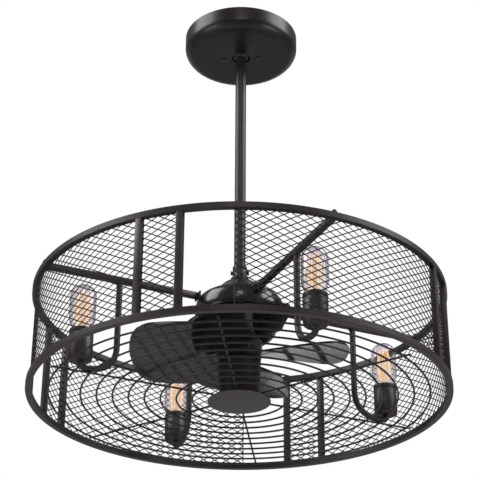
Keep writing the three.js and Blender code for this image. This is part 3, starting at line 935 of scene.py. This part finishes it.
@dataclass
class Blades:
    """Four twisted paddle blades."""

    finishes: Finishes
    levels: Levels
    start: float = 37 * MM
    widest: float = 150 * MM
    tip: float = 199 * MM
    root_half: float = 82 * MM
    half: float = 93 * MM
    squareness: float = 2.5
    thickness: float = 3.6 * MM
    tip_pitch: float = 10.0
    twist: float = 11.0
    camber: float = 3.0 * MM
    height_mm: float = 93.0
    stations: int = 44
    hub: float = 42.3 * MM

    def half_width(self, distance: float) -> float:
        """Works out half the blade's width.

        Args:
            distance: how far from the fan's axis.

        Returns:
            Half the width there.
        """
        if distance < self.widest:
            share = (distance - self.start) / (self.widest - self.start)
            ease = (1 - math.cos(math.pi * share)) / 2
            return self.root_half + (self.half - self.root_half) * ease
        share = min(1.0, (distance - self.widest) / (self.tip - self.widest))
        return self.half * (1 - share**self.squareness) ** (1 / self.squareness)

    def pitch(self, distance: float) -> float:
        """The blade's pitch in radians at a distance from the fan's axis."""
        share = (distance - self.start) / (self.tip - self.start)
        return math.radians(self.tip_pitch + self.twist * (1 - share) ** 1.5)

    def build(self) -> None:
        """Builds the first blade and copies it round."""
        first = self.one()
        for i in QUARTERS:
            blade = copy_round(first, f"paddle_blade_{i + 1}", BLADE_AZIMUTH + 90 * i)
            fit(blade, ROTOR, "blade_black", self.finishes.blade, f"blade_{i + 1}")
        bpy.data.objects.remove(first)

    def one(self) -> bpy.types.Object:
        """Builds a blade along +X: each station of a grid is drawn in, moved out and turned to its pitch.

        Returns:
            The blade.
        """
        deselect_all()
        bpy.ops.mesh.primitive_grid_add(x_subdivisions=self.stations, y_subdivisions=16, size=2)
        blade = settle(bpy.context.object, "blade_blank")
        columns: dict[float, list[int]] = {}
        for vert in blade.data.vertices:
            columns.setdefault(round(vert.co.x, 4), []).append(vert.index)
        bpy.ops.object.mode_set(mode="EDIT")
        bpy.ops.mesh.select_mode(type="VERT")
        self.dish()
        last = self.tip - 0.05 * MM
        for i, (column, members) in enumerate(sorted(columns.items())):
            bpy.ops.mesh.select_all(action="DESELECT")
            mesh = bmesh.from_edit_mesh(blade.data)
            mesh.verts.ensure_lookup_table()
            for index in members:
                mesh.verts[index].select_set(True)
            mesh.select_flush_mode()
            bmesh.update_edit_mesh(blade.data)
            reach = self.start + (last - self.start) * math.sin(i / (len(columns) - 1) * math.pi / 2)
            half = self.half_width(reach)
            bpy.ops.transform.resize(value=(1, half, half / self.half), center_override=(0, 0, 0))
            bpy.ops.transform.rotate(value=-self.pitch(reach), orient_axis="X", center_override=(0, 0, 0))
            bpy.ops.transform.translate(value=(reach - column, 0, 0))
        self.trim_root()
        bpy.ops.object.mode_set(mode="OBJECT")
        apply_modifier(blade, "SOLIDIFY", thickness=self.thickness, offset=0)
        round_edges(blade, 1.3 * MM, 3)
        smooth(blade, 40)
        blade.location = (0, 0, self.levels.up(self.height_mm))
        return settle(blade, "blade_blank")

    def dish(self) -> None:
        """Gives the flat grid its camber, hollow underneath."""
        mesh = bmesh.from_edit_mesh(bpy.context.object.data)
        for vert in mesh.verts:
            vert.co.z = self.camber * (0.5 - vert.co.y**2)
        bmesh.update_edit_mesh(bpy.context.object.data)

    def trim_root(self) -> None:
        """Pushes the blade's root out to the hub's surface, along the blade."""
        mesh = bmesh.from_edit_mesh(bpy.context.object.data)
        for vert in mesh.verts:
            if abs(vert.co.y) < self.hub:
                vert.co.x = max(vert.co.x, math.sqrt(self.hub**2 - vert.co.y**2))
        bmesh.update_edit_mesh(bpy.context.object.data)


# ---------------------------------------------------------------- cage


@dataclass
class Cage:
    """The two hoops, the uprights beside the open gaps, the mesh panels and the spokes' screws."""

    finishes: Finishes
    levels: Levels
    gap_angle: float = 5.5
    mesh_rows: int = 14
    mesh_columns: int = 22
    strand: float = 2.0 * MM
    mesh_inset: float = 2.4 * MM
    post_width: float = 12 * MM

    def build(self) -> None:
        """Builds every piece of the cage."""
        size = self.levels
        inner, edge = size.radius - size.bar, 0.9 * MM
        hoops = {"hoop_top": ("top_hoop", size.top - size.bar), "hoop_bottom": ("bottom_hoop", size.floor)}
        for name, (node, low) in hoops.items():
            high = low + size.bar
            hoop = turned(name, [(inner, low), (size.radius, low), (size.radius, high), (inner, high)], 256)
            round_edges(hoop, edge)
            smooth(hoop, 25)
            fit(hoop, HANGING, "bronze", self.finishes.bronze, node)
        self.uprights(inner, edge)
        self.panels()
        self.cap_nuts()

    def uprights(self, inner: float, edge: float) -> None:
        """Builds the eight uprights, in pairs.

        Args:
            inner: the hoops' inner radius.
            edge: radius of the uprights' edges.
        """
        size, half = self.levels, self.post_width / 2
        low = (inner + 0.3 * MM, -half, size.floor + size.bar - 0.2 * MM)
        high = (size.radius - 0.3 * MM, half, size.top - size.bar + 0.2 * MM)
        first = bar("upright_blank", low, high, edge)
        for i in QUARTERS:
            for side, turn in enumerate((-self.gap_angle, self.gap_angle)):
                number = 2 * i + side + 1
                post = copy_round(first, f"cage_post_{number}", 90 * i + turn)
                fit(post, HANGING, "bronze", self.finishes.bronze, f"upright_{number}")
        bpy.data.objects.remove(first)

    def panels(self) -> None:
        """Builds the four diamond-mesh panels from one grid of wires."""
        first = self.panel()
        for i in QUARTERS:
            panel = copy_round(first, f"diamond_mesh_{i + 1}", 90 * i)
            fit(panel, HANGING, "mesh_black", self.finishes.wire, f"mesh_panel_{i + 1}")
        bpy.data.objects.remove(first)

    def panel(self) -> bpy.types.Object:
        """Builds a panel: a line is spun into a grid, its cells are crossed, and the crosses become wire.

        Returns:
            The panel.
        """
        size = self.levels
        radius = size.radius - size.bar / 2 - self.mesh_inset
        edge = math.degrees((size.bar / 2 + 0.6 * MM) / radius)
        start, end = self.gap_angle + edge, 90 - self.gap_angle - edge
        low, high = size.floor + size.bar - 0.4 * MM, size.top - size.bar + 0.4 * MM
        deselect_all()
        bpy.ops.mesh.primitive_plane_add(size=1, location=(0, 0, 0))
        panel = settle(bpy.context.object, "panel_blank")
        bpy.ops.object.mode_set(mode="EDIT")
        bpy.ops.mesh.select_mode(type="VERT")
        bpy.ops.mesh.select_all(action="SELECT")
        bpy.ops.mesh.merge(type="CENTER")
        bpy.ops.mesh.select_all(action="SELECT")
        begin = math.radians(start)
        bpy.ops.transform.translate(value=(radius * math.cos(begin), radius * math.sin(begin), low))
        rise = (high - low) / self.mesh_rows
        for _ in range(self.mesh_rows):
            bpy.ops.mesh.extrude_vertices_move(TRANSFORM_OT_translate={"value": (0, 0, rise)})
        bpy.ops.mesh.select_all(action="SELECT")
        sweep = math.radians(end - start)
        bpy.ops.mesh.spin(steps=self.mesh_columns, angle=sweep, center=(0, 0, 0), axis=(0, 0, 1))
        bpy.ops.mesh.select_all(action="SELECT")
        bpy.ops.mesh.remove_doubles(threshold=1e-6)
        bpy.ops.mesh.poke()
        bpy.ops.mesh.select_mode(type="EDGE")
        bpy.ops.mesh.select_all(action="DESELECT")
        mesh = bmesh.from_edit_mesh(panel.data)
        for line in mesh.edges:
            climb = abs(line.verts[0].co.z - line.verts[1].co.z)
            if not line.is_boundary and (climb < 0.1 * rise or climb > 0.9 * rise):
                line.select_set(True)
        bmesh.update_edit_mesh(panel.data)
        bpy.ops.mesh.dissolve_edges(use_verts=False)
        bpy.ops.mesh.select_mode(type="VERT")
        bpy.ops.object.mode_set(mode="OBJECT")
        wire = dict.fromkeys(("use_even_offset", "use_replace", "use_boundary"), True)
        apply_modifier(panel, "WIREFRAME", thickness=self.strand, offset=0, **wire)
        smooth(panel, 60)
        return panel

    def cap_nuts(self) -> None:
        """Builds the small domed nuts on the top hoop, over the spokes."""
        size = self.levels
        dome = [(4.6 * MM, -0.2 * MM), (5.0 * MM, 0.6 * MM), (5.0 * MM, 2.6 * MM)]
        dome += arc((0, 2.6 * MM), 4.2 * MM, 10, 75, 5)
        for i in QUARTERS:
            angle = math.radians(SPOKE_AZIMUTH + 90 * i)
            reach = size.radius - size.bar / 2
            place = (reach * math.cos(angle), reach * math.sin(angle), size.top)
            nut = bead(f"hoop_nut_{i + 1}", dome, 24, place)
            fit(nut, HANGING, "bronze", self.finishes.bronze)


# ---------------------------------------------------------------- lamps


@dataclass
class Lamps:
    """The spokes with their curved arms, the sockets, the bulbs and their filaments."""

    finishes: Finishes
    levels: Levels
    arm: float = 236 * MM
    pitch: float = 302 * MM
    tube_radius: float = 5.6 * MM
    glass_radius_mm: float = 23.5
    glass_wall_mm: float = 0.9
    glass_top_mm: float = 166.0
    hairpins: int = 7

    def build(self) -> None:
        """Builds one lamp on +X and copies it to the four diagonals."""
        blanks = [
            (self.spoke(), "spoke_and_arm", HANGING, "bronze", self.finishes.bronze, "lamp_arm"),
            (self.socket(), "socket_cup", HANGING, "bronze", self.finishes.bronze, "lamp_socket"),
            (self.screw_cap(), "screw_cap", "bulb", "brass", self.finishes.brass, "bulb_cap"),
            (self.envelope(), "glass_envelope", "bulb", "glass", self.finishes.glass, "bulb_glass"),
            (self.filament(), "filament", "bulb", "", self.finishes.filament, ""),
            (self.stem(), "glass_stem", "bulb", "glass", self.finishes.glass, ""),
            # The teardrop that carries the filament's painted glow.
            (self.painted_glow(), "filament_haze", "bulb", "glass", self.finishes.painted_glow, ""),
        ]
        for i in QUARTERS:
            for blank, name, body, slot, material, node in blanks:
                piece = copy_round(blank, f"{name}_{i + 1}", SPOKE_AZIMUTH + 90 * i)
                nodes = [f"{node}_{i + 1}"] if node else []
                fit(piece, f"bulb_{i + 1}" if body == "bulb" else body, slot, material, *nodes)
        for blank, *_ in blanks:
            bpy.data.objects.remove(blank)

    def spoke(self) -> bpy.types.Object:
        """Builds the square spoke, its foot on the motor and the tube that hangs from it.

        Returns:
            The spoke and its arm, along +X.
        """
        size, half = self.levels, self.levels.bar / 2
        top = size.top - 0.5 * MM
        low = top - size.bar
        end = size.radius - size.bar - 0.1 * MM
        spoke = bar("spoke_bar", (84 * MM, -half, low), (end, half, top), 0.8 * MM)
        foot = bar("spoke_foot", (82.7 * MM, -12 * MM, low - MM), (85.5 * MM, 12 * MM, top + MM), 0.6 * MM)
        x, bend, run, turn = self.arm, size.up(60), size.up(10), 12 * MM
        line = [Vector((x, 0, low + 3 * MM)), Vector((x, 0, bend))]
        places = ((x, bend), (x, bend - 34 * MM), (x + 20 * MM, run), (self.pitch - turn, run))
        corners = [Vector((along, 0, height)) for along, height in places]
        for i in range(1, 21):
            t = i / 20
            weights = ((1 - t) ** 3, 3 * t * (1 - t) ** 2, 3 * t * t * (1 - t), t**3)
            line.append(sum((c * k for c, k in zip(corners, weights)), Vector((0, 0, 0))))
        rise = [line[-1], Vector((self.pitch, 0, run)), Vector((self.pitch, 0, size.up(20.4)))]
        for i in range(1, 9):
            t = i / 8
            line.append(rise[0] * (1 - t) ** 2 + rise[1] * (2 * t * (1 - t)) + rise[2] * t * t)
        hanging = tube("arm_tube", line, self.tube_radius, 4)
        ring = [(5.2, -2.4), (6.8, -2.2), (7.2, -1.6), (7.2, 1), (5.2, 1)]
        collar = turned("arm_collar", [(r * MM, low + h * MM) for r, h in ring], 32)
        shift(collar, x)
        return joined("spoke_blank", [spoke, foot, hanging, collar])

    def socket(self) -> bpy.types.Object:
        """Builds the socket cup, with a rolled lip and a groove under it.

        Returns:
            The cup.
        """
        cup = turned(
            "socket_shell",
            self.levels.raised(
                [
                    (5.2, 20.2), (15.4, 20.2), (18, 20.9), (20, 22.6), (21.1, 25), (21.5, 28),
                    (21.5, 68.4), (21.1, 69), (21.1, 69.8), (21.5, 70.4), (21.5, 78), (21.2, 78.7),
                    (20.6, 79), (19.4, 79), (18.9, 78.6), (18.2, 74), (17, 71), (14.5, 69.4),
                    (14.4, 68), (14.4, 41), (5.2, 41),
                ]
            ),
            64,
        )
        return shift(cup, self.pitch)

    def screw_cap(self) -> bpy.types.Object:
        """Builds the bulb's rolled screw cap and its insulated foot.

        Returns:
            The cap.
        """
        thread = []
        for turn in range(6):
            height = 48 + turn * 3.2
            thread += [(12.3, height), (13.2, height + 1.1), (12.3, height + 2.2)]
        outline = [
            (2, 43), (4.6, 43), (5, 43.6), (6, 44.4), (11.6, 46.6), (12.2, 47.2), *thread,
            (12.4, 68), (13.1, 69), (13.1, 70),
        ]
        cap = turned("cap_blank", self.levels.raised(outline), 48, Ends.POLES)
        smooth(cap, 60)
        return shift(cap, self.pitch)

    def envelope(self) -> bpy.types.Object:
        """Builds the thin glass tube with its domed end, necked in to the cap.

        Returns:
            The glass.
        """
        radius = self.glass_radius_mm
        dome = self.glass_top_mm - radius + 1.5
        height = self.glass_top_mm - dome
        outline = [
            (12.6, 70.2), (13.2, 74), (14.6, 79), (17, 84.4), (20, 90), (22.2, 95), (23.3, 100),
            (radius, 105), (radius, dome),
        ]
        crown = [math.radians(90 * i / 16) for i in range(1, 16)]
        outline += [(radius * math.cos(a), dome + height * math.sin(a)) for a in crown]
        glass = turned("glass_outer", self.levels.raised(outline), 64, Ends.POLES)
        self.open_neck(glass)
        apply_modifier(glass, "SOLIDIFY", thickness=self.glass_wall_mm * MM, offset=-1)
        smooth(glass, 60)
        return shift(glass, self.pitch)

    def open_neck(self, shell: bpy.types.Object) -> None:
        """Removes the flat floor under the glass's neck, where the cap closes it.

        Args:
            shell: the closed glass.
        """
        take_up(shell)
        bpy.ops.object.mode_set(mode="EDIT")
        mesh = bmesh.from_edit_mesh(shell.data)
        low = min(v.co.z for v in mesh.verts)
        for face in mesh.faces:
            face.select_set(all(v.co.z < low + 1e-5 for v in face.verts))
        bmesh.update_edit_mesh(shell.data)
        bpy.ops.mesh.delete(type="FACE")
        bpy.ops.object.mode_set(mode="OBJECT")

    def stem(self) -> bpy.types.Object:
        """Builds the glass stem that carries the filament's wires.

        Returns:
            The stem.
        """
        outline = [
            (6, 71), (6.4, 74), (5, 80), (3.2, 88), (2.4, 96), (1.8, 118), (1.6, 146), (2.2, 148),
            (1.6, 150),
        ]
        return shift(turned("stem_blank", self.levels.raised(outline), 24, Ends.POLES), self.pitch)

    def painted_glow(self) -> bpy.types.Object:
        """Builds the teardrop round the filament that carries its painted glow, a glowing shell that is no
        lamp.

        Returns:
            The teardrop.
        """
        outline = [
            (4, 72), (9, 76), (12.4, 84), (14.6, 96), (15.4, 108), (14.8, 124), (12.6, 138), (9, 149),
            (4.5, 156),
        ]
        return shift(turned("haze_blank", self.levels.raised(outline), 40, Ends.POLES), self.pitch)

    def filament(self) -> bpy.types.Object:
        """Builds the squirrel-cage filament: long hairpins round the stem, joined at top and foot.

        Returns:
            The filament.
        """
        low, high = self.levels.up(92), self.levels.up(151)
        climb = high - low
        wide, narrow = 11.5 * MM, 7.5 * MM
        rows = [(narrow, low), (wide, low + 0.3 * climb), (wide, low + 0.7 * climb), (wide * 0.75, high)]
        step = math.pi / self.hairpins
        line = []
        for i in range(self.hairpins):
            angle = 2 * math.pi * i / self.hairpins
            for turn, leg in ((angle, rows), (angle + step, rows[::-1])):
                line += [(reach * math.cos(turn), reach * math.sin(turn), height) for reach, height in leg]
        strand = tube("filament_blank", [Vector(p) for p in line], 0.4 * MM, 1, loop=True)
        return shift(strand, self.pitch)


# ---------------------------------------------------------------- lower guard


@dataclass
class Guard:
    """The lower guard's wires and its flat centre plate."""

    finishes: Finishes
    levels: Levels
    rings: int = 10
    first_ring: float = 84 * MM
    ring_pitch: float = 28.5 * MM
    wire: float = 1.8 * MM
    radials: int = 6

    def build(self) -> None:
        """Builds the rings, the radial wires welded over them and the centre plate."""
        floor = self.levels.floor
        wires = []
        for reach in [50 * MM] + [self.first_ring + self.ring_pitch * i for i in range(self.rings)]:
            deselect_all()
            steps = 96 if reach < 0.15 else 160
            bpy.ops.mesh.primitive_torus_add(
                major_radius=reach,
                minor_radius=self.wire,
                major_segments=steps,
                minor_segments=10,
                location=(0, 0, floor),
            )
            wires.append(settle(bpy.context.object, "guard_ring"))
            smooth(wires[-1], 60)
        last = self.first_ring + self.ring_pitch * (self.rings - 1) + 11 * MM
        for i in range(self.radials):
            angle = math.radians(SPOKE_AZIMUTH + 360 / self.radials * i)
            along = Vector((math.cos(angle), math.sin(angle), 0))
            height = Vector((0, 0, floor + 1.4 * self.wire))
            line = [along * 50 * MM + height, along * last + height]
            wires.append(tube("guard_radial", line, self.wire, 3))
        guard = joined("guard_wires", wires)
        fit(guard, HANGING, "mesh_black", self.finishes.wire, "guard")
        low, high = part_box("guard_plate")
        radius = high.x
        outline = [
            (4 * MM, low.z), (radius - 1.2 * MM, low.z), (radius - 0.3 * MM, low.z + 0.3 * MM),
            (radius, low.z + MM),
        ]
        outline += [(radius, high.z - 0.4 * MM), (radius - 0.5 * MM, high.z), (4 * MM, high.z)]
        plate = turned("guard_centre_plate", outline, 128, Ends.POLES)
        fit(plate, HANGING, "plate_bronze", self.finishes.plate, "guard_plate")


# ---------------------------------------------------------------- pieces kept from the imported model


def dress_packed_nodes(finishes: Finishes) -> None:
    """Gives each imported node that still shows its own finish.

    Args:
        finishes: every material of the fan.
    """
    kept = {
        "ceiling_plate": finishes.steel,
        "hanger_bracket": finishes.steel,
        "ball_seat": finishes.steel,
        "ball_liner": finishes.nylon,
        "cross_pin": finishes.steel,
        "motor_shaft": finishes.steel,
        "stator": finishes.iron,
        "magnet_ring": finishes.magnet,
        "rotor_cover": finishes.iron,
        "upper_bearing": finishes.steel,
        "lower_bearing": finishes.steel,
    }
    for name, material in kept.items():
        node = bpy.data.objects[name]
        node.data.materials.clear()
        node.data.materials.append(material)
        LOG.info("%s keeps its packed shape", name)


# ---------------------------------------------------------------- studio


@dataclass
class Studio:
    """The camera, the soft lights and the pale floor."""

    azimuth: float = 20.6
    pitch: float = 27.763
    roll: float = 0.3
    distance: float = 2.4934
    height: float = -1.7734
    lens_mm: float = 111.69
    floor_height: float = -2.4
    fill: float = 0.2
    card: float = 0.4

    def build(self) -> None:
        """Sets up the studio round the fan."""
        self.camera()
        self.floor()
        self.sky()
        self.soft_box("left_box", (-2.42, -0.43, 1.6), 1.9, 60)
        self.soft_box("right_box", (2.42, -0.43, 1.6), 1.9, 60)
        self.soft_box("left_low_box", (-2.3, -1.3, -1.1), 1.2, 14)
        self.soft_box("right_low_box", (2.3, -1.3, -1.1), 1.2, 14)
        self.soft_box("front_box", (0.0, -2.9, 1.2), 0.8, 8)

    def turned_place(self, place: tuple) -> Vector:
        """Turns a place in the camera's own compass onto the fan's."""
        return Matrix.Rotation(math.radians(self.azimuth), 4, "Z") @ Vector(place)

    def camera(self) -> None:
        """Stands the camera below and in front of the fan, looking up at it."""
        data = bpy.data.cameras.new("camera")
        data.lens, data.sensor_width = self.lens_mm, 36
        data.clip_end = 50
        camera = bpy.data.objects.new("camera", data)
        bpy.context.scene.collection.objects.link(camera)
        turn = Matrix.Rotation(math.radians(self.azimuth), 4, "Z")
        tilt = Matrix.Rotation(math.radians(90 + self.pitch), 4, "X")
        lean = Matrix.Rotation(math.radians(self.roll), 4, "Z")
        place = Matrix.Translation(self.turned_place((0, -self.distance, self.height)))
        camera.matrix_world = place @ turn @ tilt @ lean
        bpy.context.scene.camera = camera

    def floor(self) -> None:
        """Lays a pale floor under the fan."""
        deselect_all()
        bpy.ops.mesh.primitive_circle_add(
            vertices=96, radius=8, fill_type="NGON", location=(0, 0, self.floor_height)
        )
        floor = settle(bpy.context.object, "studio_floor")
        paint = bpy.data.materials.new("studio_paint")
        paint.use_nodes = True
        w = Wiring(paint.node_tree)
        shader = w.add("ShaderNodeBsdfPrincipled", {"Base Color": (0.8, 0.775, 0.805, 1), "Roughness": 0.8})
        w.add("ShaderNodeOutputMaterial", {"Surface": shader.outputs["BSDF"]})
        floor.data.materials.append(paint)

    def sky(self) -> None:
        """Makes the white backdrop: bright where it is seen, soft where it lights."""
        bpy.context.scene.view_settings.view_transform = "Standard"
        world = bpy.data.worlds.new("studio_world")
        world.use_nodes = True
        bpy.context.scene.world = world
        w = Wiring(world.node_tree)
        path = w.add("ShaderNodeLightPath").outputs
        seen = w.maths("MAXIMUM", path["Is Camera Ray"], path["Is Transmission Ray"])
        backdrop = w.add("ShaderNodeBackground", {"Color": (1, 1, 1, 1), "Strength": 1.0})
        away = w.add("ShaderNodeTexCoord").outputs["Generated"]
        far = self.turned_place((0, 1, 0))
        ahead = w.add("ShaderNodeVectorMath", {0: away, 1: far}, operation="DOT_PRODUCT").outputs["Value"]
        rise = w.maths("ABSOLUTE", w.add("ShaderNodeSeparateXYZ", {"Vector": away}).outputs["Z"], 0.0)
        card = w.maths("MULTIPLY", w.between(ahead, 0.55, 0.9), w.between(rise, 0.4, 0.15))
        strength = w.maths("ADD", w.maths("MULTIPLY", card, self.card), self.fill)
        fill = w.add("ShaderNodeBackground", {"Color": (1, 0.965, 1, 1), "Strength": strength})
        mixed = w.add("ShaderNodeMixShader", {0: seen, 1: fill.outputs[0], 2: backdrop.outputs[0]})
        w.add("ShaderNodeOutputWorld", {"Surface": mixed.outputs[0]})

    def soft_box(self, name: str, place: tuple, size: float, power: float) -> None:
        """Hangs one soft light that faces the fan.

        Args:
            name: the light's name.
            place: where it hangs, in the camera's own compass.
            size: its width.
            power: its strength in watts.
        """
        light = bpy.data.lights.new(name, "AREA")
        light.shape, light.size, light.energy = "SQUARE", size, power
        lamp = bpy.data.objects.new(name, light)
        bpy.context.scene.collection.objects.link(lamp)
        lamp.location = self.turned_place(place)
        aim = Vector((0, 0, -0.55)) - lamp.location
        lamp.rotation_euler = aim.to_track_quat("-Z", "Y").to_euler()


def write_sizes() -> None:
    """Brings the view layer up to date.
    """
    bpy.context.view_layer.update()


def main() -> None:
    """Builds the fan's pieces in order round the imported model."""
    logging.basicConfig(level=logging.INFO, format="%(message)s")
    Studio().build()
    levels = Levels.read()
    finishes = Finishes()
    dress_packed_nodes(finishes)
    Canopy(finishes).build()
    Downrod(finishes, levels).build()
    Motor(finishes, levels).build()
    Blades(finishes, levels).build()
    Cage(finishes, levels).build()
    Lamps(finishes, levels).build()
    Guard(finishes, levels).build()
    deselect_all()
    write_sizes()


if __name__ == "__main__":
    main()
